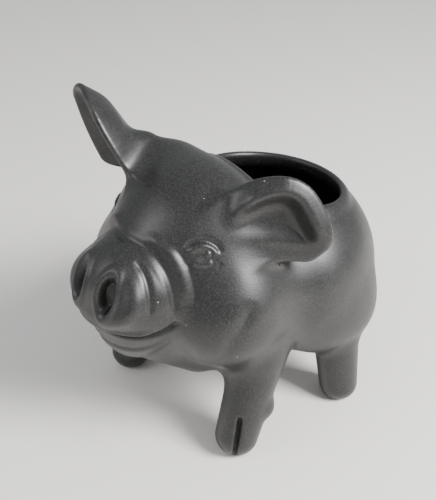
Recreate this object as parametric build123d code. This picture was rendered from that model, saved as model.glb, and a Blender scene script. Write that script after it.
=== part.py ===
from build123d import *
import os
from math import cos, radians, sin

# Slip-cast ceramic pig planter, in millimetres.
# The pig faces -Y, its left side is +X and it stands on Z = 0.
# The origin is on the floor, under the middle of the whole figure.
# The pot, the head, four legs and two ears are hollow or thin castings, and the two
# eyes and the tail are rolled by hand. All are luted together with slip before firing.

# ---- driving sizes -------------------------------------------------------------------
wall = 5.0                   # thickness of the slip-cast shells

pot_centre_y = 26.0          # where the pot is widest
pot_half_width = 62.5
pot_back = 61.0              # from the widest section to the rump
pot_widest_z = 72.0
pot_rise = 56.5              # from the widest height up to the back
pot_drop = 45.5              # from the widest height down to the belly

nape_y = 9.0                 # the pot's section where the back begins
nape_tuck = 1.0              # each of these two is this much narrower on a side
nape_top_z = 129.5
nape_bottom_z = 28.5
shoulder_y = -10.0           # the pot's section between the front legs
shoulder_tuck = 3.5
shoulder_widest_z = 76.0
shoulder_top_z = 140.0
shoulder_bottom_z = 31.0

head_half_width = 57.5       # across the cheeks
head_y = -28.0
head_widest_z = 79.0
crown_z = 148.0
throat_z = 35.0

brow_y = -40.0               # the eyes lie just above this section
brow_half_width = 47.0
brow_widest_z = 80.0
brow_bottom_z = 41.0
brow_top_z = 141.0
bridge_y = -56.0             # where the snout rises out of the face
bridge_half_width = 39.0
bridge_widest_z = 86.0
bridge_bottom_z = 50.0
bridge_top_z = 129.0

muzzle_y = -66.0
muzzle_half_width = 30.0
muzzle_widest_z = 92.0
muzzle_top_z = 121.0
jaw_z = 57.0
snout_y = -77.5              # halfway along the snout
snout_half_width = 25.5
snout_widest_z = 96.0
snout_bottom_z = 69.0
snout_top_z = 117.5

nose_y = -88.0               # front of the nose pad
nose_half_width = 20.0
nose_z = 97.5
nose_half_height = 15.5
nose_pad = 10.0              # solid clay behind the nose pad
nostril_spread = 9.5
nostril_half_width = 3.6
nostril_half_height = 7.5
nostril_depth = 5.0
lips_z = 84.5                # height of the line between the lips
lips_gap = 2.0
lips_depth = 3.5
lips_width = 40.0

throat_cut_y = -31.0         # the neck joint is one flat cut, from the throat
nape_cut_y = -3.0            # up to the nape

mouth_y = 37.0               # centre of the planting opening
mouth_z = 116.0
mouth_half_width = 38.0
mouth_half_length = 34.5
mouth_tilt = 9.0             # the opening slopes down to the rear
lip_round = 1.6

front_foot_inset = 17.5      # feet, in from the pot's widest half width
front_foot_y = -32.0
front_foot_radius = 12.0
front_shoulder_radius = 19.0
front_shoulder_z = 54.0
front_lean_in = 4.0          # the shoulder stands this far inside the foot
front_lean_back = 15.0       # and this far behind it
rear_foot_inset = 7.5
rear_foot_y = 38.0
rear_foot_radius = 11.0
rear_hip_radius = 22.0
rear_hip_z = 50.0
rear_lean_in = 11.0
rear_lean_back = 0.5
sole_round = 3.0
toe_height = 18.0            # solid clay in the foot, below the hollow
cleft_width = 2.6
cleft_depth = 6.0
cleft_height = 14.0
dewclaw_radius = 4.5
dewclaw_z = 22.0
vent_radius = 1.5            # lets the air out of each leg while it is fired

ear_thickness = 5.5
left_ear_sink = 8.5          # how far the middle of the ear's root lies under the skin
right_ear_sink = 5.0
left_ear_cup = (32.0, 70.0)    # radii of the bowl across the ear and along it
right_ear_cup = (30.0, 95.0)
eye_radius = 4.6
eye_spread = 32.0
eye_z = 118.0
eye_proud = 2.6

tail_ring_radius = 7.5
tail_radius = 2.6
tail_z = 92.0
tail_sweep = 290.0


# ---- the outer form of pot and head ---------------------------------------------------
def egg(y, half_width, widest_z, drop, rise):
    """An upright section: half an ellipse above the widest height, half below it."""
    plane = Plane(origin=(0, y, widest_z), x_dir=(1, 0, 0), z_dir=(0, -1, 0))
    upper = EllipticalCenterArc((0, 0), half_width, rise, start_angle=0, arc_size=180)
    lower = EllipticalCenterArc((0, 0), half_width, drop, start_angle=180, arc_size=180)
    return plane * make_face([upper, lower])


def front_rows():
    """Half width, widest height, bottom and top of the sections in front of the pot."""
    nose = (nose_y, nose_half_width, nose_z, nose_z - nose_half_height, nose_z + nose_half_height)
    snout = (snout_y, snout_half_width, snout_widest_z, snout_bottom_z, snout_top_z)
    muzzle = (muzzle_y, muzzle_half_width, muzzle_widest_z, jaw_z, muzzle_top_z)
    bridge = (bridge_y, bridge_half_width, bridge_widest_z, bridge_bottom_z, bridge_top_z)
    brow = (brow_y, brow_half_width, brow_widest_z, brow_bottom_z, brow_top_z)
    cheeks = (head_y, head_half_width, head_widest_z, throat_z, crown_z)
    shoulder_width = pot_half_width - shoulder_tuck
    shoulder = (shoulder_y, shoulder_width, shoulder_widest_z, shoulder_bottom_z, shoulder_top_z)
    nape = (nape_y, pot_half_width - nape_tuck, pot_widest_z, nape_bottom_z, nape_top_z)
    return [nose, snout, muzzle, bridge, brow, cheeks, shoulder, nape]


def form(inset=0.0, nose_inset=0.0):
    """Pot and head as one closed lofted solid, with its walls moved in by inset."""
    sections = []
    for y, half_width, widest_z, bottom_z, top_z in front_rows():
        if y < nose_y + nose_inset:
            y = nose_y + nose_inset
        sections.append(egg(y, half_width - inset, widest_z, widest_z - bottom_z - inset, top_z - widest_z - inset))
    for angle in (0, 20, 38, 54, 68, 79, 86):
        share = cos(radians(angle))
        y = pot_centre_y + (pot_back - inset) * sin(radians(angle))
        size = ((pot_half_width - inset) * share, (pot_drop - inset) * share, (pot_rise - inset) * share)
        sections.append(egg(y, size[0], pot_widest_z, size[1], size[2]))
    return loft(sections)


def neck_side(front):
    """A large block on one side of the flat cut between head and pot."""
    reach = 400
    along = Vector(0, nape_cut_y - throat_cut_y, crown_z - throat_z)
    normal = Vector(0, -along.Z, along.Y) * (1 if front else -1)
    plane = Plane(origin=(0, throat_cut_y, throat_z), x_dir=(1, 0, 0), z_dir=normal)
    return plane * Box(reach, reach, reach, align=(Align.CENTER, Align.CENTER, Align.MIN))


def skin_point(solid, origin, direction):
    """Where a line from inside the form leaves its skin, and the outward normal there."""
    hits = solid.find_intersection_points(Axis(origin, direction))
    ahead = [h for h in hits if (h[0] - Vector(*origin)).dot(Vector(*direction)) > 0]
    point, normal = max(ahead, key=lambda h: (h[0] - Vector(*origin)).length)
    if normal.dot(Vector(*direction)) < 0:
        normal = normal * -1
    return point, normal


# ---- the castings ---------------------------------------------------------------------
def make_pot(outer, inner):
    """The open shell that holds the plant, with a rounded lip and a vent over each leg."""
    shell = (outer - inner) & neck_side(front=False)
    tilt = radians(mouth_tilt)
    plane = Plane(origin=(0, mouth_y, mouth_z), x_dir=(1, 0, 0), z_dir=(0, sin(tilt), cos(tilt)))
    pot = shell - plane * extrude(Ellipse(mouth_half_width, mouth_half_length), pot_rise, both=True)
    for x, y in leg_places():
        pot -= Pos(x, y, 0) * Cylinder(vent_radius, 2 * pot_widest_z)
    lip = [e for e in pot.edges() if abs(plane.to_local_coords(e.center()).X) < mouth_half_width + 1
           and e.center().Z > pot_widest_z + 0.4 * pot_rise and e.length > mouth_half_length
           and e.center().Y > nape_cut_y + 3 * lip_round]
    return fillet(lip, lip_round)


def leg_places():
    """Where the vents go: inside the top of each leg."""
    front_x = pot_half_width - front_foot_inset - front_lean_in
    rear_x = pot_half_width - rear_foot_inset - rear_lean_in
    front_y = front_foot_y + front_lean_back
    rear_y = rear_foot_y + rear_lean_back
    return [(front_x, front_y), (-front_x, front_y), (rear_x, rear_y), (-rear_x, rear_y)]


def make_head(outer, inner):
    """The hollow head, open at the neck, with nostrils and the line between the lips."""
    head = (outer - inner) & neck_side(front=True)
    for side in (-1, 1):
        plane = Plane(origin=(side * nostril_spread, nose_y, nose_z + 3), x_dir=(1, 0, 0), z_dir=(0, 1, 0))
        head -= plane * extrude(Ellipse(nostril_half_width, nostril_half_height), nostril_depth)
    return head - Pos(0, nose_y, lips_z) * Box(lips_width, 2 * lips_depth, lips_gap)


def leg(foot_x, foot_y, lean_x, lean_y, foot_radius, top_radius, top_z, inset=0.0, start_z=0.0):
    """A leaning tapered leg of round sections, ending in the dome of the shoulder or hip."""
    heights = [0, sole_round / 2, sole_round, toe_height, 0.5 * (toe_height + top_z), top_z]
    sections = []
    for z in [h for h in heights if h >= start_z]:
        share = z / top_z
        radius = foot_radius + (top_radius - foot_radius) * share * share * (3 - 2 * share)
        if z < sole_round:
            radius -= sole_round * (1 - sin(radians(90 * z / sole_round)))
        centre = (foot_x + lean_x * share, foot_y + lean_y * share, z)
        sections.append(Pos(*centre) * Circle(radius - inset))
    dome = top_radius - inset
    for angle in (30, 55, 75):
        centre = (foot_x + lean_x, foot_y + lean_y, top_z + dome * sin(radians(angle)))
        sections.append(Pos(*centre) * Circle(dome * cos(radians(angle))))
    return loft(sections)


def make_leg(outer, side, front):
    """One hollow leg with a solid cloven toe, its top cut to the skin of the body."""
    if front:
        place = (side * (pot_half_width - front_foot_inset), front_foot_y, -side * front_lean_in, front_lean_back)
        radii = (front_foot_radius, front_shoulder_radius, front_shoulder_z)
    else:
        place = (side * (pot_half_width - rear_foot_inset), rear_foot_y, -side * rear_lean_in, rear_lean_back)
        radii = (rear_foot_radius, rear_hip_radius, rear_hip_z)
    solid = leg(*place, *radii)
    hollow = leg(*place, *radii, inset=wall, start_z=toe_height)
    foot_x, foot_y, radius = place[0], place[1], radii[0]
    cleft = Pos(foot_x, foot_y - radius, 0) * Box(cleft_width, 2 * cleft_depth, 2 * cleft_height)
    claw_x = foot_x + side * radius * 0.6
    claw_y = foot_y + radius
    solid += Pos(claw_x, claw_y, dewclaw_z) * Sphere(dewclaw_radius) if front else solid
    return solid - hollow - cleft - outer


def make_ear(outer, origin, direction, sink, along, facing, outline, cup):
    """A thin bowl-shaped ear cut to a drawn outline, its root trimmed to the skin."""
    across, length = cup
    skin, _ = skin_point(outer, origin, direction)
    root = skin - Vector(*direction).normalized() * sink
    plane = Plane(origin=root, x_dir=along, z_dir=facing)
    blank = extrude(make_face(Spline(*outline, periodic=True)), across, both=True)
    middle = sum(u for u, _ in outline) / len(outline), sum(v for _, v in outline) / len(outline)
    ring = Torus(length - across, across + ear_thickness / 2) - Torus(length - across, across - ear_thickness / 2)
    shell = Pos(middle[0], middle[1], length) * Rot(90, 0, 0) * ring
    return plane * (blank & shell) - outer


def make_eye(outer, side):
    """A bead of clay pressed on to the face."""
    skin, normal = skin_point(outer, (side * eye_spread, head_y, eye_z), (0, -1, 0))
    return Pos(*(skin + normal * (eye_proud - eye_radius))) * Sphere(eye_radius) - outer


def make_tail(outer):
    """A curled roll of clay lying on the rump."""
    skin, normal = skin_point(outer, (0, pot_centre_y, tail_z), (0, 1, 0))
    plane = Plane(origin=skin + normal * tail_radius * 0.75, x_dir=(1, 0, 0), z_dir=normal)
    ring = Torus(tail_ring_radius, tail_radius, major_angle=tail_sweep)
    ends = [e for f in ring.faces().filter_by(GeomType.PLANE) for e in f.edges()]
    return plane * Rot(0, 0, 90) * fillet(ends, 0.75 * tail_radius) - outer


# The ears are drawn in their own plane: first along the ear from its root, then across.
left_ear_outline = [(-15, 15), (-3, 26), (11, 31), (23, 28), (32, 18), (38, 6), (39.5, 1), (35, -4),
                    (24, -5), (11, -6), (-8, -8), (-22, 0)]
right_ear_outline = [(-14, -15), (6, -19), (22, -21), (38, -19), (48, -11), (53, 0), (51, 11), (41, 19),
                     (24, 21), (8, 20), (-14, 13)]

os.makedirs("parts", exist_ok=True)
outer = form()
inner = form(wall, nose_pad)
brain = (0, head_y + 10, head_widest_z + 20)

nodes = {"pot": make_pot(outer, inner), "head": make_head(outer, inner)}
for name, side in (("left", 1), ("right", -1)):
    nodes["front_leg_" + name] = make_leg(outer, side, front=True)
    nodes["rear_leg_" + name] = make_leg(outer, side, front=False)
    nodes["eye_" + name] = make_eye(outer, side)
nodes["ear_left"] = make_ear(outer, brain, (37, -3, 24), left_ear_sink, (25.5, 31.5, -6), (0.66, -0.68, 0.30),
                             left_ear_outline, left_ear_cup)
nodes["ear_right"] = make_ear(outer, brain, (-30, -3, 33), right_ear_sink, (-23.5, -16, 42), (-0.36, -0.77, -0.50),
                              right_ear_outline, right_ear_cup)
nodes["tail"] = make_tail(outer)

for name, part in nodes.items():
    export_step(part, "parts/" + name + ".step")
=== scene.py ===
import math
import bmesh
import bpy
import numpy as np
import openvdb
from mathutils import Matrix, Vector


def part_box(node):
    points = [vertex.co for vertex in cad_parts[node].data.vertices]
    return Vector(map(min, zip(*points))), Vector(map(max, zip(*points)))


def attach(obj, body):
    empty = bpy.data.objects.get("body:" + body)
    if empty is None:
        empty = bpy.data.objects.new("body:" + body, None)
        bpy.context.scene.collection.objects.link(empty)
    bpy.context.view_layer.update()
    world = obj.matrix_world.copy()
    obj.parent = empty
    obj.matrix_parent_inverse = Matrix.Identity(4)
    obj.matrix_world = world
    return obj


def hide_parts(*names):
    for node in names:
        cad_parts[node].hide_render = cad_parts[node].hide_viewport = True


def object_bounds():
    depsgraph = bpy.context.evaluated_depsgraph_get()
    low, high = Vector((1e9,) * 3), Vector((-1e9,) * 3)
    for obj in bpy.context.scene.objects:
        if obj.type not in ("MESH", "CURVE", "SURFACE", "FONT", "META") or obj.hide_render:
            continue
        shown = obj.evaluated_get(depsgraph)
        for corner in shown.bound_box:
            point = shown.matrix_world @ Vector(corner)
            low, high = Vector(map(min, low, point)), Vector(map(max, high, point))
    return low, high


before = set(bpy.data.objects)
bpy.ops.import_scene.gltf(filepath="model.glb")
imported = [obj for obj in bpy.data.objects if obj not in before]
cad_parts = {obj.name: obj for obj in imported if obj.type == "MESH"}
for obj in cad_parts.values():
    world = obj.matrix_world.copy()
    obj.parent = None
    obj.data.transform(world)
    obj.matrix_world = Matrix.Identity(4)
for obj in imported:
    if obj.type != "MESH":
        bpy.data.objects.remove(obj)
cad_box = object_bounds()


# ---- the pot ---------------------------------------------------------------------------
# The round body is a hollow slip casting in earthenware whose back is left open.
# Each form is worked out as a height above its skin in millimetres, below nothing in the
# clay, so that the wet forms can be run together as a potter lutes them with slip.
MM = 0.001                            # metres in a millimetre
WALL = 5.5                            # thickness of the castings


def box_mm(node):
    """The lowest and highest corners of a node, in millimetres."""
    low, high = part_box(node)
    return np.array(low) / MM, np.array(high) / MM


def lute(a, b, fillet):
    """Two forms joined by a fillet of slip."""
    share = np.clip(0.5 + 0.5 * (b - a) / fillet, 0, 1)
    return b + (a - b) * share - fillet * share * (1 - share)


def trim(a, b, rounding):
    """What two forms have in common, with the edge sponged round."""
    return -lute(-a, -b, rounding)


def ease(value, start, end):
    """Rises smoothly from 0 to 1 between two values."""
    share = np.clip((value - start) / (end - start), 0, 1)
    return share * share * (3 - 2 * share)


def tipped(p, centre, degrees):
    """Points measured from a centre, in axes tipped about the pig's left to right axis."""
    c, s = math.cos(math.radians(degrees)), math.sin(math.radians(degrees))
    q = p - np.asarray(centre, np.float32)
    return np.stack([q[..., 0], c * q[..., 1] + s * q[..., 2], c * q[..., 2] - s * q[..., 1]], -1)


def lump(p, centre, radii, degrees=0, low=None, back=None):
    """A pressed ball of clay; low and back are its radii below and behind the centre."""
    q = tipped(p, centre, degrees)
    depth = np.where(q[..., 1] > 0, back or radii[1], radii[1])
    height = np.where(q[..., 2] < 0, low or radii[2], radii[2])
    unit = np.stack([q[..., 0] / radii[0], q[..., 1] / depth, q[..., 2] / height], -1)
    steep = np.stack([unit[..., 0] / radii[0], unit[..., 1] / depth, unit[..., 2] / height], -1)
    size = np.sqrt((unit ** 2).sum(-1))
    return size * (size - 1) / (np.sqrt((steep ** 2).sum(-1)) + 1e-9)


def both_sides(p):
    """The same points with the pig's right side folded on to its left."""
    return np.concatenate([np.abs(p[..., :1]), p[..., 1:]], -1)


# In every form p is a set of points, and m is the same points folded to the pig's left.
pot_low, pot_high = box_mm("pot")
pot_middle = (0, pot_high[1] - 61.8, pot_low[2] + 47.5)
pot_radii = (pot_high[0], 52, 54)     # across, forward and up
POT_BELOW, POT_BEHIND = 48, 65        # radii below and behind the middle
POT_TIP = -4
MOUTH = (0, 36, 116)                  # middle of the opening
MOUTH_RADII = (38, 36)                # across and along
MOUTH_TIP = -9
MOUTH_DEPTH = 46                      # how far down the opening is cut


def pot_form(p):
    """The round body, before its mouth is cut."""
    return lump(p, pot_middle, pot_radii, POT_TIP, low=POT_BELOW, back=POT_BEHIND)


def mouth_form(p):
    """Height outside the oval shaft that is cut for the mouth."""
    q = tipped(p, MOUTH, MOUTH_TIP)
    across, along = MOUTH_RADII
    return (np.hypot(q[..., 0] / across, q[..., 1] / along) - 1) * (across + along) / 2


# ---- the head --------------------------------------------------------------------------
# The head is a second hollow casting: skull, cheeks, jaw and a blunt snout with a flat
# nose pad that looks a little upwards. It is luted to the pot along a flat neck joint.
_, head_high = box_mm("head")
SKULL = (0, -20, head_high[2] - 40)
SNOUT = (0, -59, 93.5)
PAD = (0, -77.5, 101.5)           # middle of the flat of the nose
PAD_RADII = (24, 15.5)            # across and up
PAD_HALF_DEPTH = 7
PAD_LOOKS = np.array([0, -0.86, 0.51])
PAD_UP = np.array([0, 0.51, 0.86])


def roll(p, start, end, start_radius, end_radius):
    """A rolled sausage of clay, round at both ends."""
    start, run = np.asarray(start, np.float32), np.subtract(end, start).astype(np.float32)
    share = np.clip((p - start) @ run / (run @ run), 0, 1)
    away = np.sqrt(((p - start - share[..., None] * run) ** 2).sum(-1))
    return away - start_radius - (end_radius - start_radius) * share


def nose_pad_form(p):
    """A thick oval button, its front face the flat of the nose."""
    q = p - np.asarray(PAD, np.float32)
    wide, tall = PAD_RADII
    across, up, out = q[..., 0] / wide, q @ PAD_UP / tall, q @ PAD_LOOKS
    size = np.hypot(across, up) + 1e-9
    side = (size - 1) * size / (np.hypot(across / wide, up / tall) + 1e-9)
    return trim(side, np.abs(out + PAD_HALF_DEPTH) - PAD_HALF_DEPTH, 5)


def head_core(p, m):
    """Skull, jaw and cheeks: the part of the head that is cast hollow."""
    skull = lump(p, SKULL, (41.5, 36, 38), 20)
    jaw = roll(p, (0, -22, 60), (0, -56, 74), 33, 20)
    cheeks = lump(m, (30, -23, 82), (28, 32, 32))
    return lute(skull, lute(jaw, cheeks, 12), 14)


def head_form(p, m):
    """The whole head: its core, the brow between the ears, the snout and the nose pad."""
    poll = roll(p, (-20, -15, 133), (16, -17, 124.5), 13, 12)
    poll = lute(poll, roll(p, (-20, -16, 134), (-31, -22, 144), 9, 6), 8)
    poll = lute(poll, lump(p, (-31, -16, 127), (12, 12, 13)), 8)
    snout = lump(p, SNOUT, (29, 21, 26))
    snout = lute(snout, roll(p, (0, -38, 99), (0, -59, 96.5), 33, 23.5), 6)
    snout = lute(snout, nose_pad_form(p), 5)
    return lute(lute(head_core(p, m), poll, 10), snout, 11)


# ---- the legs --------------------------------------------------------------------------
# Four stout legs are cast hollow and luted under the shoulders and hips. The front feet
# turn out a little and have a bump for the dew claw; a full haunch hangs over the rear.
front_low, front_high = box_mm("front_leg_left")
rear_low, rear_high = box_mm("rear_leg_left")
FRONT_FOOT = (front_high[0] - 15.5, front_low[1] + 11.5, 9.5)
REAR_FOOT = (rear_high[0] - 12.5, rear_low[1] + 21, 8.5)
SHOULDER, HIP = (42, -15, 50), (50, 38, 36)
SOLE_ROUND = 2.5


def front_leg_form(m):
    """A front leg with its dew claw, cut flat at the floor."""
    leg = roll(m, SHOULDER, FRONT_FOOT, 13.5, 11.2)
    claw = lump(m, (51, -18.5, 25), (5, 5, 6.5))
    return trim(lute(leg, claw, 4), -m[..., 2], SOLE_ROUND)


def rear_leg_form(m):
    """A rear leg, cut flat at the floor."""
    leg = roll(m, HIP, REAR_FOOT, 12.2, 10.6)
    return trim(leg, -m[..., 2], SOLE_ROUND)


def haunch_form(m):
    """The swell of the haunch over a rear leg."""
    return lump(m, (43, 38, 56), (21.5, 30, 26))


# ---- the ears --------------------------------------------------------------------------
# Each ear is a thin pressed leaf of clay, its edge turned in to make a cup, and luted to
# the skull: the pig's left ear lies out and forward, its right ear stands up.
def smooth_line(corners, closed=True, steps=4):
    """A smooth line through the corners of a drawn shape."""
    corners = [np.array(c, float) for c in corners]
    if not closed:
        corners = [corners[0]] + corners + [corners[-1]]
    first = -1 if closed else 0
    line = []
    for i in range(len(corners) if closed else len(corners) - 3):
        a, b, c, d = (corners[(i + n + first) % len(corners)] for n in range(4))
        for t in np.arange(steps) / steps:
            bend = (2 * a - 5 * b + 4 * c - d) * t * t + (3 * b - a - 3 * c + d) * t ** 3
            line.append((2 * b + (c - a) * t + bend) / 2)
    return line if closed else line + [corners[-1]]


def outside(u, v, line):
    """Distance outside a closed flat line, below nothing inside it."""
    nearest, inside = np.full(u.shape, 1e9), np.zeros(u.shape, bool)
    for (au, av), (bu, bv) in zip(line, line[1:] + line[:1]):
        du, dv = bu - au, bv - av
        share = np.clip(((u - au) * du + (v - av) * dv) / (du * du + dv * dv), 0, 1)
        nearest = np.minimum(nearest, np.hypot(u - au - share * du, v - av - share * dv))
        if av != bv:
            inside ^= ((av > v) != (bv > v)) & (u < au + (v - av) / (bv - av) * du)
    return np.where(inside, -nearest, nearest)


EAR_THICKNESS = 4.6
EAR_REACH = 85        # no ear comes further than this from its root


class Ear:
    """A leaf of clay: along and across it lie u and v, and w is the way its cup opens.

    The edge is raised by near_curl and far_curl on its two sides over a width of turn, from
    starts along the leaf; flatter lessens that towards the tip, and lip thickens the leaf just
    inside its far edge.
    """

    def __init__(self, root, along, opens, corners,
                 near_curl, far_curl, turn, starts, flatter, lip):
        self.root, self.turn, self.starts = np.array(root), turn, starts
        self.flatter, self.lip = flatter, lip
        self.near_curl, self.far_curl = near_curl, far_curl
        self.u = np.array(along, float) / np.linalg.norm(along)
        w = np.array(opens, float) - self.u * (self.u @ np.array(opens, float))
        self.w = w / np.linalg.norm(w)
        self.v = np.cross(self.w, self.u)
        self.line = smooth_line(corners)

    def form(self, p):
        """Height above the skin of the ear."""
        height = np.full(p.shape[:-1], 40.0)
        q = p - self.root
        close = (q ** 2).sum(-1) < EAR_REACH ** 2
        q = q[close]
        u, v, w = q @ self.u, q @ self.v, q @ self.w
        edge = outside(u, v, self.line)
        inward = np.clip(-edge, 0, self.turn) / self.turn
        curl = self.near_curl + (self.far_curl - self.near_curl) * ease(v, -8, 8)
        curl = curl * ease(u, self.starts, self.starts + 26)
        curl = curl * (1 - self.flatter * np.clip(u / 55, 0, 1) ** 2)
        climb = 2 * curl / self.turn
        steep = np.sqrt(1 + 0.6 * (climb * (1 - inward)) ** 2)
        fold = self.lip * np.exp(-((edge + 7) / 5) ** 2) * ease(v, -4, 12) * ease(u, -14, 0)
        middle = curl * (1 - inward) ** 2 + climb * np.maximum(edge, 0) + fold / 2
        sheet = (np.abs(w - middle) - fold / 2) / steep
        rim = (edge + climb * (w - curl)) / np.sqrt(1 + climb ** 2)
        height[close] = trim(sheet - EAR_THICKNESS * (0.35 + 0.15 * inward), rim, 2.2)
        return height


left_ear = Ear(
    root=(36, -20, 121), along=(25.5, 31.5, -6), opens=(0.66, -0.68, 0.30),
    corners=[(-15, 15), (-3, 26), (11, 31), (23, 28), (32, 18), (37, 8), (37.5, -1), (32, -8),
             (23, -9), (11, -9), (-8, -9), (-22, 0)],
    near_curl=1, far_curl=10, turn=13, starts=-12, flatter=0.0, lip=7)
right_ear = Ear(
    root=(-30, -21, 132), along=(-22.5, -16, 42), opens=(-0.36, -0.77, -0.50),
    corners=[(-14, -15), (6, -19), (22, -21), (37, -19), (48, -12), (53, -2), (50, 7), (40, 16),
             (24, 21), (8, 20), (-14, 13)],
    near_curl=10, far_curl=21, turn=16, starts=-12, flatter=0.6, lip=0)


# ---- the face and feet, modelled by hand -----------------------------------------------
# Lids, wrinkles, lips, nostrils and the cloven toes are pressed or drawn into the leather
# hard clay with a rounded tool, the same on both sides of the figure.
def near_line(m, line):
    """Distance from a line through a few points, and how far along it from 0 to 1."""
    nearest, along = np.full(len(m), 1e9), np.zeros(len(m))
    for i, (start, end) in enumerate(zip(line, line[1:])):
        run = end - start
        share = np.clip((m - start) @ run / (run @ run), 0, 1)
        away = ((m - start - share[:, None] * run) ** 2).sum(-1)
        along = np.where(away < nearest, (i + share) / (len(line) - 1), along)
        nearest = np.minimum(nearest, away)
    return np.sqrt(nearest), along


# Each stroke: how high it stands, how wide it is, and the points that it runs through.
STROKES = [
    # the groove over the upper lid, that lid, the groove under the lower lid, and that lid
    (-1.1, 1.4, [(24.5, -47, 120), (26.5, -45.5, 124), (29.5, -43, 126), (33, -40, 126.5),
                 (36.5, -37, 124), (38.5, -36, 120)]),
    (0.8, 1.8, [(27, -46, 119.5), (29, -44, 122.8), (32.3, -41, 123.7), (35.5, -38.5, 122),
                (37, -38, 119)]),
    (-0.5, 1.5, [(27, -48, 117), (29.5, -46, 114.3), (33.5, -43, 113.3), (37.5, -39, 115),
                 (39.5, -37, 117.5)]),
    (0.4, 1.6, [(28.8, -46, 117.2), (32.5, -43, 115.7), (36.5, -40, 117)]),
    # the fold that rings the root of the snout, the ridge behind it, and two lighter folds
    (-1.2, 2.1, [(0, -61, 123), (8, -60, 122.5), (15, -58.5, 121), (21, -57.5, 117),
                 (25.5, -57, 112), (28.5, -57, 105), (30, -57.5, 98), (31, -59, 92)]),
    (1.0, 2.4, [(8, -56, 126), (16, -54.5, 124), (23, -53.5, 119.5), (28, -53, 113.5),
                (31.5, -53, 106), (33.5, -54, 98)]),
    (-0.9, 1.6, [(12, -65, 118.5), (17, -64.5, 114), (20.5, -65, 108.5), (23, -66.5, 101.5),
                 (24, -68, 95)]),
    (-1.0, 1.7, [(21, -50, 124), (27, -49.5, 119), (32, -49.5, 112), (35, -50, 104),
                 (36.5, -51, 96)]),
    # the mouth, the edge of the upper lip, and the fold under the lower lip
    (-2.6, 1.5, [(0, -85, 82.5), (8, -83, 82), (15, -79, 81.5), (22, -72.5, 81.5),
                 (27, -65.5, 83), (31, -60, 86.5), (33, -57, 91)]),
    (1.1, 1.7, [(0, -85, 85.3), (8, -84, 84.8), (15, -80, 84.3), (22, -74, 84.3),
                (27.5, -66.5, 85.8)]),
    (-1.0, 1.6, [(0, -77, 72), (8, -75.5, 71.5), (15, -71, 71.5), (21, -65, 73), (26, -58, 76)]),
    # the back of the jowl
    (-0.9, 4.0, [(52.6, -29.6, 100), (53.9, -35.7, 92.7), (52.6, -41.7, 83.6),
                 (49.4, -44.8, 74.4), (42.7, -44.9, 63.8)]),
    # the cleft of each front toe
    (-3.0, 1.4, [(50.5, -35.5, 29), (52, -38, 20), (52.5, -40, 10), (51.5, -39.5, 3)]),
]
EYE = np.array([33.2, -40.5, 120], np.float32)
EYE_SOCKET = 4.2                  # how wide the dip round each eye is
NOSTRIL_SPREAD = 9.6              # from the middle of the nose to the middle of a nostril
NOSTRIL_RADII = (3.9, 8.6)        # across and up
NOSTRIL_DEPTH = 4.8


# ---- the luted figure ------------------------------------------------------------------
# Pot, head, legs and ears are luted while wet and the seams wiped away, so they share
# one skin. It is worked out once and parted again where the forms meet.
GRID = 1.25                       # spacing of the first, coarse points
NECK_FILLET, HAUNCH_FILLET = 14, 8
FRONT_LEG_FILLET, REAR_LEG_FILLET = 13, 5
RIGHT_EAR_FILLET, LEFT_EAR_FILLET = 11, 7
LIP_RADIUS = 3.4                  # of the roll of clay round the mouth
LIP_LOWEST = 100
LEGS = {"front_leg": front_leg_form, "rear_leg": rear_leg_form}
EARS = {"ear_left": left_ear, "ear_right": right_ear}


def torso_forms(p, m):
    """The pot and head together, and the hollow inside them."""
    pot, core = pot_form(p), head_core(p, m)
    torso = lute(lute(pot, haunch_form(m), HAUNCH_FILLET), head_form(p, m), NECK_FILLET)
    hollow = lute(pot, core, NECK_FILLET) + WALL
    return torso, hollow


def solid_form(p):
    """The luted figure before it is hollowed."""
    m = both_sides(p)
    skin = lute(torso_forms(p, m)[0], front_leg_form(m), FRONT_LEG_FILLET)
    skin = lute(skin, rear_leg_form(m), REAR_LEG_FILLET)
    skin = lute(skin, right_ear.form(p), RIGHT_EAR_FILLET)
    return lute(skin, left_ear.form(p), LEFT_EAR_FILLET)


def figure_form(p):
    """The whole luted figure with its hollow and its mouth."""
    torso, hollow = torso_forms(p, both_sides(p))
    shaft = np.maximum(mouth_form(p), MOUTH[2] - MOUTH_DEPTH - p[..., 2])
    body = trim(solid_form(p), -lute(shaft, hollow, 3), 3)
    lip = np.hypot(mouth_form(p) - 1.6, torso + 2.2) - LIP_RADIUS
    return lute(body, np.maximum(lip, LIP_LOWEST - p[..., 2]), 2)


def cast(form, low, high):
    """The skin of a form, as points and four-sided faces, on a grid of cubes.

    The form is worked out at every grid point only in the blocks that its skin may cross.
    """
    block, far = 12, 30.0
    counts = np.ceil((high - low) / GRID / block).astype(int)
    steps = [low[i] + GRID * np.arange(counts[i] * block) for i in range(3)]
    middles = np.stack(np.meshgrid(*[s[block // 2::block] for s in steps], indexing="ij"), -1)
    coarse = form(middles.astype(np.float32))
    heights = np.clip(coarse, -far, far)
    for axis in range(3):
        heights = np.repeat(heights, block, axis)
    heights = heights.astype(np.float32)
    for i, j, k in np.argwhere(np.abs(coarse) < 1.7 * block * GRID):
        ranges = [slice(n * block, (n + 1) * block) for n in (i, j, k)]
        points = np.stack(np.meshgrid(*[steps[n][r] for n, r in enumerate(ranges)], indexing="ij"), -1)
        heights[tuple(ranges)] = form(points.astype(np.float32))
    grid = openvdb.FloatGrid(far)
    grid.copyFromArray(heights)
    points, _, faces = grid.convertToPolygons(isovalue=0.0, adaptivity=0.0)
    return points * GRID + low, faces


def slope_of(form, p, step=0.4):
    """The way out of the clay at each point, and the height there."""
    height = form(p)
    rise = [form(p + step * np.eye(3, dtype=np.float32)[i]) - height for i in range(3)]
    return np.stack(rise, -1) / step, height


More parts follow.
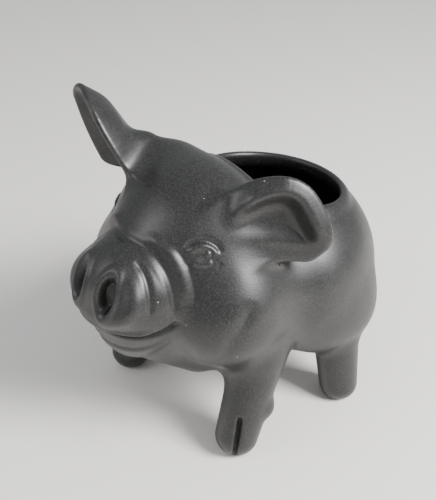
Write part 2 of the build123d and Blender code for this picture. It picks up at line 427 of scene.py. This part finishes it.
def settle(form, p, rounds=3):
    """Moves points on to the skin of a form."""
    for _ in range(rounds):
        slope, height = slope_of(form, p)
        p = p - slope * np.clip(height / ((slope ** 2).sum(-1) + 0.05), -1, 1)[:, None]
    return p


def hand_work(p):
    """How far the hand-modelled detail stands proud of the plain form."""
    m = both_sides(p)
    proud = np.zeros(len(p))
    for height, width, corners in STROKES:
        line = settle(solid_form, np.array(smooth_line(corners, closed=False, steps=3), np.float32), 6)
        here = ((m > line.min(0) - 3 * width) & (m < line.max(0) + 3 * width)).all(-1)
        away, along = near_line(m[here], line)
        fades = ease(1 - along, 0, 0.2) * (1 if corners[0][0] == 0 else ease(along, 0, 0.2))
        proud[here] += height * fades * np.exp(-(away / width) ** 2)
    proud -= 0.9 * np.exp(-((m - EYE) ** 2).sum(-1) / EYE_SOCKET ** 2)
    q = m - np.array(PAD)
    across, up, out = q[:, 0] - NOSTRIL_SPREAD, q @ PAD_UP, q @ PAD_LOOKS
    oval = np.hypot(across / NOSTRIL_RADII[0], (up - 1) / NOSTRIL_RADII[1])
    front = np.exp(-(out / 7) ** 4)
    raised = 1.3 * np.exp(-((oval - 1.4) / 0.32) ** 2)
    proud += front * (raised - NOSTRIL_DEPTH * (1 - ease(oval, 0.6, 1.15)))
    return proud


def relax(p, mesh):
    """Evens out the points by moving each halfway to the middle of its neighbours."""
    ends = np.empty(len(mesh.edges) * 2, np.int32)
    mesh.edges.foreach_get("vertices", ends)
    a, b = ends.reshape(-1, 2).T
    count = np.bincount(ends, minlength=len(p))[:, None]
    total = [np.bincount(a, p[b, i], len(p)) + np.bincount(b, p[a, i], len(p)) for i in range(3)]
    return ((p + np.stack(total, -1) / count) / 2).astype(np.float32)


def arrays_of(mesh):
    """A mesh's points, the corners of its faces, and how many each face has."""
    points = np.empty(len(mesh.vertices) * 3, np.float32)
    mesh.vertices.foreach_get("co", points)
    corners = np.empty(len(mesh.loops), np.int32)
    mesh.loops.foreach_get("vertex_index", corners)
    counts = np.empty(len(mesh.polygons), np.int32)
    mesh.polygons.foreach_get("loop_total", counts)
    return points.reshape(-1, 3), corners, counts


def finer(mesh, wanted):
    """Divides the faces whose middle is where the function says."""
    work = bmesh.new()
    work.from_mesh(mesh)
    middles = np.array([f.calc_center_median() for f in work.faces])
    work.faces.ensure_lookup_table()
    edges = {e for i in np.flatnonzero(wanted(middles)) for e in work.faces[i].edges}
    bmesh.ops.subdivide_edges(work, edges=list(edges), cuts=1, use_grid_fill=True)
    work.to_mesh(mesh)
    work.free()


def at_detail(p):
    """The face, the ears and the front toes."""
    m = both_sides(p)
    ears = (left_ear.form(p) < 2) | (right_ear.form(p) < 2)
    face = (p[:, 1] < -30) & (p[:, 2] > 50) & (head_core(p, m) > -3)
    return ears | face | ((p[:, 1] < -20) & (p[:, 2] < 32))


def at_fine_detail(p):
    """The nose pad, the lips and the eyes."""
    m = both_sides(p)
    eye = ((m - EYE) ** 2).sum(-1) < 11 ** 2
    toe = ((m - (52, -39, 16)) ** 2).sum(-1) < 14 ** 2
    return eye | toe | ((p[:, 1] < -62) & (p[:, 2] > 74) & (p[:, 2] < 122))


EYE = settle(solid_form, EYE[None], 8)[0]
low = np.array(cad_box[0]) / MM - 8
high = np.array(cad_box[1]) / MM + 8
points, faces = cast(figure_form, low, high)
figure = bpy.data.meshes.new("figure")
figure.from_pydata(points.tolist(), [], faces.tolist())
finer(figure, at_detail)
finer(figure, at_fine_detail)
points, corners, counts = arrays_of(figure)
points = settle(figure_form, points, 2)
for _ in range(2):
    points = settle(figure_form, relax(points, figure), 1)
points = settle(figure_form, points, 1)
slope, _ = slope_of(figure_form, points)
outward = slope / np.linalg.norm(slope, axis=-1, keepdims=True)
skin_height, _ = torso_forms(points, both_sides(points))
outer = ease(skin_height, -4, -2)
points = points + outward * (hand_work(points) * outer)[:, None]


def partings(p):
    """Which piece each point belongs to."""
    m = both_sides(p)
    torso, _ = torso_forms(p, m)
    names = ["pot", "head"] + list(EARS) + [n + s for n in LEGS for s in ("_left", "_right")]
    neck = (p[:, 1] + 31) * 113 - (p[:, 2] - 35) * 33
    piece = np.where(neck < 0, 1, 0)
    best = np.where(torso > -2.5, torso, -100)
    for name, ear in EARS.items():
        height = ear.form(p)
        mine = height < best
        piece, best = np.where(mine, names.index(name), piece), np.where(mine, height, best)
    for name, leg_form in LEGS.items():
        height = leg_form(m)
        side = np.where(p[:, 0] > 0, names.index(name + "_left"), names.index(name + "_right"))
        mine = height < best
        piece, best = np.where(mine, side, piece), np.where(mine, height, best)
    return names, piece


starts = np.concatenate([[0], np.cumsum(counts)[:-1]])
middles = np.add.reduceat(points[corners], starts, 0) / counts[:, None]
names, piece_of_face = partings(middles)

figure.vertices.foreach_set("co", (points * MM).ravel())
figure.update()
normals = np.empty(len(points) * 3, np.float32)
figure.vertex_normals.foreach_get("vector", normals)
normals = normals.reshape(-1, 3)
if (normals * outward).sum() < 0:
    raise RuntimeError("the figure is inside out")


def rims_of(faces):
    """The open rims of a piece, each as a closed run of points."""
    edges = {(f[i - 1], f[i]) for f in faces for i in range(len(f))}
    onward = {}
    for a, b in edges:
        if (b, a) not in edges:
            onward.setdefault(a, []).append(b)
    rims = []
    while onward:
        start = spot = next(iter(onward))
        rim = []
        while True:
            rim.append(spot)
            after = onward[spot].pop()
            if not onward[spot]:
                del onward[spot]
            spot = after
            if spot == start:
                break
        rims.append(rim)
    return sorted(rims, key=len, reverse=True)


def join_rims(spots, wide, narrow):
    """Faces across the wall between the outer rim and the inner rim of the neck."""
    narrow = narrow[::-1]
    first = int(np.argmin(((spots[narrow] - spots[wide[0]]) ** 2).sum(-1)))
    narrow = narrow[first:] + narrow[:first]
    a, b, faces = 0, 0, []
    while a < len(wide) or b < len(narrow):
        wide_now, wide_next = wide[a % len(wide)], wide[(a + 1) % len(wide)]
        narrow_now, narrow_next = narrow[b % len(narrow)], narrow[(b + 1) % len(narrow)]
        step_wide = ((spots[wide_next] - spots[narrow_now]) ** 2).sum()
        step_narrow = ((spots[narrow_next] - spots[wide_now]) ** 2).sum()
        if b == len(narrow) or (a < len(wide) and step_wide < step_narrow):
            faces.append([wide_next, wide_now, narrow_now])
            a += 1
        else:
            faces.append([wide_now, narrow_now, narrow_next])
            b += 1
    return faces


def closed_up(spots, faces, in_hollow):
    """Closes the luted faces of a piece: a ring at the neck, and a fan at each ear and leg."""
    rims = rims_of(faces)
    hollow_rims = [r for r in rims if np.mean(in_hollow[r]) > 0.5]
    faces = list(faces)
    if hollow_rims:
        faces += join_rims(spots, rims[0], hollow_rims[0])
        rims = [r for r in rims[1:] if r is not hollow_rims[0]]
    for rim in rims:
        faces += [[b, a, len(spots)] for a, b in zip(rim, rim[1:] + rim[:1])]
        spots = np.concatenate([spots, spots[rim].mean(0, keepdims=True)])
    return spots, faces


def piece_mesh(name, chosen):
    """The chosen faces of the figure as a closed mesh with the figure's own smooth shading."""
    picked = np.repeat(chosen, counts)
    used, own = np.unique(corners[picked], return_inverse=True)
    ends = np.cumsum(counts[chosen])
    faces = [own[end - count:end].tolist() for end, count in zip(ends, counts[chosen])]
    in_hollow = 1 - outer[used]
    spots, faces = closed_up(points[used], faces, in_hollow)
    extra = len(spots) - len(used)
    mesh = bpy.data.meshes.new(name)
    mesh.from_pydata((spots * MM).tolist(), [], faces)
    mesh.polygons.foreach_set("use_smooth", [True] * len(mesh.polygons))
    mesh.normals_split_custom_set_from_vertices(np.pad(normals[used], ((0, extra), (0, 0))).tolist())
    # each point keeps how much painted shade it gets, and whether it lies inside the pot
    for label, values in (("inside", in_hollow), ("painted_shade", painted_shade_amounts[used])):
        layer = mesh.attributes.new(label, "FLOAT", "POINT")
        layer.data.foreach_set("value", np.pad(values, (0, extra)).astype(np.float32))
    return mesh


def place(name, mesh, material):
    """Puts a piece in the scene, in place of the solid of the same name."""
    piece = bpy.data.objects.new(name + "_glazed", mesh)
    bpy.context.scene.collection.objects.link(piece)
    mesh.materials.append(material)
    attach(piece, "root")
    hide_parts(name)
    return piece


# The glaze is a satin black: a dark iron and manganese glaze that dries matt with a fine
# orange peel, so it shows a broad soft grey sheen and thin bright lines along its edges.
# The drawn grooves, nostrils and eye sockets get painted shade, a darker brown in the colour.
# It lies thicker and shinier inside the pot.
GLAZE_BLACK = "171717"
# the next colour is the darker brown painted into the grooves, nostrils and eye sockets as shade
PAINTED_SHADE_BROWN = "221d1a"
GLAZE_GREY = "4a4a48"
GLAZE_SPECK = "8a8781"
PEEL_WIDTH = 0.9              # orange peel, drawn about twice as coarse as it is
PEEL_HEIGHT = 0.12
CLOUD_WIDTH = 14              # patches where the glaze is a little shinier or duller
SPECK_SPACING = 15.0          # between the rare pale specks


def linear(code):
    """A hex colour as linear light."""
    values = [int(code[i:i + 2], 16) / 255 for i in (0, 2, 4)]
    return [v / 12.92 if v <= 0.04045 else ((v + 0.055) / 1.055) ** 2.4 for v in values] + [1]


def add_node(tree, kind, settings=None, links=None):
    """Adds a node, sets its options and sockets, and joins other nodes' outputs to it."""
    node = tree.nodes.new(kind)
    for key, value in (settings or {}).items():
        if isinstance(key, int) or key in node.inputs:
            node.inputs[key].default_value = value
        else:
            setattr(node, key, value)
    for key, output in (links or {}).items():
        tree.links.new(output, node.inputs[key])
    return node


def satin_black_glaze():
    """Satin black glaze, fired on earthenware."""
    material = bpy.data.materials.new("satin_black_glaze")
    material.use_nodes = True
    tree = material.node_tree
    shader = tree.nodes["Principled BSDF"]
    place_in = add_node(tree, "ShaderNodeTexCoord").outputs["Object"]
    peel = add_node(tree, "ShaderNodeTexNoise",
                    {"Scale": 1 / (PEEL_WIDTH * MM), "Detail": 2.0, "Roughness": 0.6},
                    {"Vector": place_in})
    cloud = add_node(tree, "ShaderNodeTexNoise",
                     {"Scale": 1 / (CLOUD_WIDTH * MM), "Detail": 4.0, "Roughness": 0.6},
                     {"Vector": place_in})
    specks = add_node(tree, "ShaderNodeTexVoronoi",
                      {"Scale": 1 / (SPECK_SPACING * MM)}, {"Vector": place_in})
    # painted shade: how much of the darker brown is painted in at each point
    painted_shade = add_node(tree, "ShaderNodeAttribute", {"attribute_name": "painted_shade"}).outputs["Fac"]
    inside = add_node(tree, "ShaderNodeAttribute", {"attribute_name": "inside"}).outputs["Fac"]
    speck = add_node(tree, "ShaderNodeMapRange",
                     {"From Min": 0.015, "From Max": 0.03, "To Min": 1.0, "To Max": 0.0},
                     {"Value": specks.outputs["Distance"]})
    grain = add_node(tree, "ShaderNodeMapRange",
                     {"From Min": 0.42, "From Max": 0.75, "To Min": 0.0, "To Max": 0.35},
                     {"Value": peel.outputs["Fac"]})
    body = add_node(tree, "ShaderNodeMix",
                    {"data_type": "RGBA", 6: linear(GLAZE_BLACK), 7: linear(GLAZE_GREY)},
                    {0: grain.outputs[0]})
    # paints the shade into the grooves, nostrils and eye sockets as a darker brown
    brown = add_node(tree, "ShaderNodeMix", {"data_type": "RGBA", 7: linear(PAINTED_SHADE_BROWN)},
                     {0: painted_shade, 6: body.outputs[2]})
    flecked = add_node(tree, "ShaderNodeMix", {"data_type": "RGBA", 7: linear(GLAZE_SPECK)},
                       {0: speck.outputs[0], 6: brown.outputs[2]})
    tree.links.new(flecked.outputs[2], shader.inputs["Base Color"])
    dull = add_node(tree, "ShaderNodeMapRange",
                    {"From Min": 0.3, "From Max": 0.7, "To Min": 0.34, "To Max": 0.43},
                    {"Value": cloud.outputs["Fac"]})
    shiny = add_node(tree, "ShaderNodeMix", {3: 0.24}, {0: inside, 2: dull.outputs[0]})
    tree.links.new(shiny.outputs[0], shader.inputs["Roughness"])
    bump = add_node(tree, "ShaderNodeBump", {"Strength": 0.35, "Distance": PEEL_HEIGHT * MM},
                    {"Height": peel.outputs["Fac"]})
    tree.links.new(bump.outputs[0], shader.inputs["Normal"])
    shader.inputs["IOR"].default_value = 1.52
    return material


glaze = satin_black_glaze()
# painted shade: the deeper a drawn groove, nostril or eye socket, the more darker brown is painted in,
# on the outer skin only
painted_shade_amounts = np.clip(-hand_work(points) / 4 - 0.2, 0, 1) * outer
for number, name in enumerate(names):
    place(name, piece_mesh(name, piece_of_face == number), glaze)


# ---- the eyes --------------------------------------------------------------------------
# Each eye is a small bead of the same clay, rolled by hand and pressed into its socket
# under the lid, so that only its front stands a little proud.
EYE_BEAD = 3.2                    # radius
EYE_PROUD = 0.2


def bead(name, centre, radius):
    """A slightly flattened bead."""
    work = bmesh.new()
    bmesh.ops.create_icosphere(work, subdivisions=4, radius=radius * MM)
    for v in work.verts:
        v.co = Vector((v.co.x, v.co.y * 0.9, v.co.z)) + Vector(centre) * MM
    mesh = bpy.data.meshes.new(name)
    work.to_mesh(mesh)
    work.free()
    mesh.polygons.foreach_set("use_smooth", [True] * len(mesh.polygons))
    return mesh


for name, side in (("eye_left", 1), ("eye_right", -1)):
    seat = EYE * (side, 1, 1)
    way, _ = slope_of(figure_form, seat[None].astype(np.float32))
    centre = seat - way[0] / np.linalg.norm(way[0]) * (EYE_BEAD - EYE_PROUD)
    place(name, bead(name, centre, EYE_BEAD), glaze)


# ---- the tail --------------------------------------------------------------------------
# The tail is a thin roll of clay, thinner towards its end, laid on the rump in a curl and
# luted down while both are soft.
tail_low, tail_high = box_mm("tail")
TAIL_ROUND = 2.9                  # radius at the root
TAIL_REACH = 7.2                  # radius of the curl where it starts


def tail_line(steps=72):
    """Middle of the curl and its thickness, from the root to the point."""
    middle = (tail_low + tail_high) / 2
    t = np.linspace(0, 1, steps)
    turn, reach = np.radians(-100 + 400 * t), TAIL_REACH * (1 - 0.5 * t)
    x, z = middle[0] + reach * np.cos(turn), middle[2] + reach * np.sin(turn)
    flat = np.stack([x, np.full(steps, tail_high[1]), z], -1).astype(np.float32)
    on_rump = settle(solid_form, flat, 10)
    out, _ = slope_of(solid_form, on_rump)
    out = out / np.linalg.norm(out, axis=-1, keepdims=True)
    thick = TAIL_ROUND * (1 - 0.55 * t ** 1.5)
    return list(zip(on_rump + out * (0.35 * thick)[:, None], thick))


def tube(name, line, sides=24):
    """A closed round tube along a line, with domed ends."""
    work = bmesh.new()
    rings = []
    ways = np.gradient(np.array([c for c, _ in line]), axis=0)
    ways = ways / np.linalg.norm(ways, axis=-1, keepdims=True)
    dome = (0.4, 0.8, 1.2, 1.5)
    (root, root_round), (tip, tip_round) = line[0], line[-1]
    spots = [(root - ways[0] * root_round * math.sin(a), ways[0], root_round * math.cos(a))
             for a in dome[::-1]]
    spots += [(c, w, r) for (c, r), w in zip(line, ways)]
    spots += [(tip + ways[-1] * tip_round * math.sin(a), ways[-1], tip_round * math.cos(a))
              for a in dome]
    for centre, way, radius in spots:
        across = np.cross(way, (0, 1, 0))
        across = across / np.linalg.norm(across)
        up = np.cross(across, way)
        ring = []
        for i in range(sides):
            angle = 2 * math.pi * i / sides
            spot = centre + radius * (across * math.cos(angle) + up * math.sin(angle))
            ring.append(work.verts.new(spot * MM))
        rings.append(ring)
    for a, b in zip(rings, rings[1:]):
        for i in range(sides):
            work.faces.new((a[i], a[(i + 1) % sides], b[(i + 1) % sides], b[i]))
    work.faces.new(rings[0][::-1])
    work.faces.new(rings[-1])
    bmesh.ops.recalc_face_normals(work, faces=work.faces)
    mesh = bpy.data.meshes.new(name)
    work.to_mesh(mesh)
    work.free()
    mesh.polygons.foreach_set("use_smooth", [True] * len(mesh.polygons))
    return mesh


place("tail", tube("tail", tail_line()), glaze)


# ---- floor, light and camera -----------------------------------------------------------
# The planter stands on a plain pale floor, lit by one big soft window light from its
# back left side, a weak one in front and a pale room.
FLOOR_PAINT, ROOM_LIGHT = "e8e5e1", "f3f5f8"
FLOOR_REACH = 3.0
CAMERA_AT = (0.2393, -0.2244, 0.3086)
AZIMUTH, ELEVATION = math.radians(47.3), math.radians(34)


def floor():
    """A flat painted floor under the soles."""
    mesh = bpy.data.meshes.new("floor")
    edges = ((-1, -1), (1, -1), (1, 1), (-1, 1))
    mesh.from_pydata([(x * FLOOR_REACH, y * FLOOR_REACH, 0) for x, y in edges], [], [(0, 1, 2, 3)])
    board = bpy.data.objects.new("floor", mesh)
    bpy.context.scene.collection.objects.link(board)
    paint = bpy.data.materials.new("pale_matt_paint")
    paint.use_nodes = True
    shader = paint.node_tree.nodes["Principled BSDF"]
    shader.inputs["Base Color"].default_value = linear(FLOOR_PAINT)
    shader.inputs["Roughness"].default_value = 0.8
    mesh.materials.append(paint)


def soft_light(name, place_at, size, watts, aim=(0, 0, 0.08)):
    """A square soft light that looks at the figure."""
    lamp = bpy.data.lights.new(name, "AREA")
    lamp.size, lamp.energy = size, watts
    lit = bpy.data.objects.new(name, lamp)
    bpy.context.scene.collection.objects.link(lit)
    lit.location = place_at
    lit.rotation_mode = "QUATERNION"
    lit.rotation_quaternion = (Vector(aim) - Vector(place_at)).to_track_quat("-Z", "Y")


floor()
soft_light("window", (0.77, 0.30, 0.72), 0.42, 28)
soft_light("front_fill", (-0.3, -0.8, 0.6), 0.5, 3)
world = bpy.data.worlds.new("room")
bpy.context.scene.world = world
world.use_nodes = True
world.node_tree.nodes["Background"].inputs["Color"].default_value = linear(ROOM_LIGHT)
world.node_tree.nodes["Background"].inputs["Strength"].default_value = 0.68

level = math.cos(ELEVATION)
back = Vector((math.sin(AZIMUTH) * level, -math.cos(AZIMUTH) * level, math.sin(ELEVATION)))
lens = bpy.data.cameras.new("camera")
lens.sensor_width = 36
lens.lens = 54.72
camera = bpy.data.objects.new("camera", lens)
bpy.context.scene.collection.objects.link(camera)
camera.location = CAMERA_AT
camera.rotation_mode = "QUATERNION"
camera.rotation_quaternion = (-back).to_track_quat("-Z", "Y")
bpy.context.scene.camera = camera
